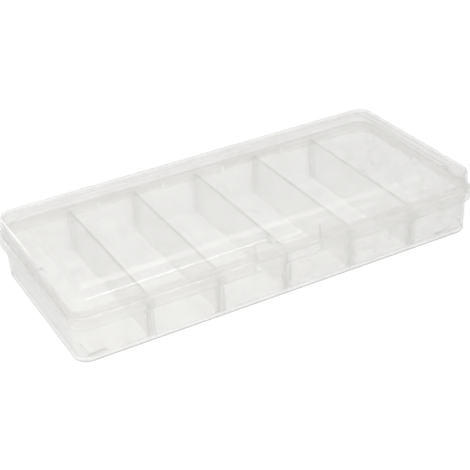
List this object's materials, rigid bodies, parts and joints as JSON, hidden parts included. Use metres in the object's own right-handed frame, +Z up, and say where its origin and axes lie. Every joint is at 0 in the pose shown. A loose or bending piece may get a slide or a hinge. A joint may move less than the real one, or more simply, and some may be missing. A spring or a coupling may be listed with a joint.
{
  "type": "bead organizer box",
  "caption": "Clear compartment box for beads and small parts, with removable dividers and one hinged lid that shuts with a flexing latch tab",
  "frame": {"origin": "middle of the whole box in X and Y, on the surface that the feet stand on", "axes": "X along the box, -Y the front with the latch tab, +Y the hinge, Z up"},
  "size_m": [0.2024, 0.0966, 0.0334],
  "materials": {
    "tray_clear": "injection-moulded natural polypropylene, glossy and slightly milky",
    "lid_clear": "injection-moulded natural polypropylene, polished and glossy",
    "divider_clear": "injection-moulded natural polypropylene with a fine satin face"
  },
  "bodies": {
    "base": {"tray": "tray_clear", "divider_1": "divider_clear", "divider_2": "divider_clear", "divider_3": "divider_clear", "divider_4": "divider_clear", "divider_5": "divider_clear"},
    "cover": {"lid": "lid_clear"}
  },
  "joints": [
    {"name": "lid_hinge", "type": "hinge", "parent": "base", "child": "cover", "pos_m": [0, 0.04603, 0.0204], "axis": [-1, 0, 0], "range_deg": [0, 180]}
  ]
}
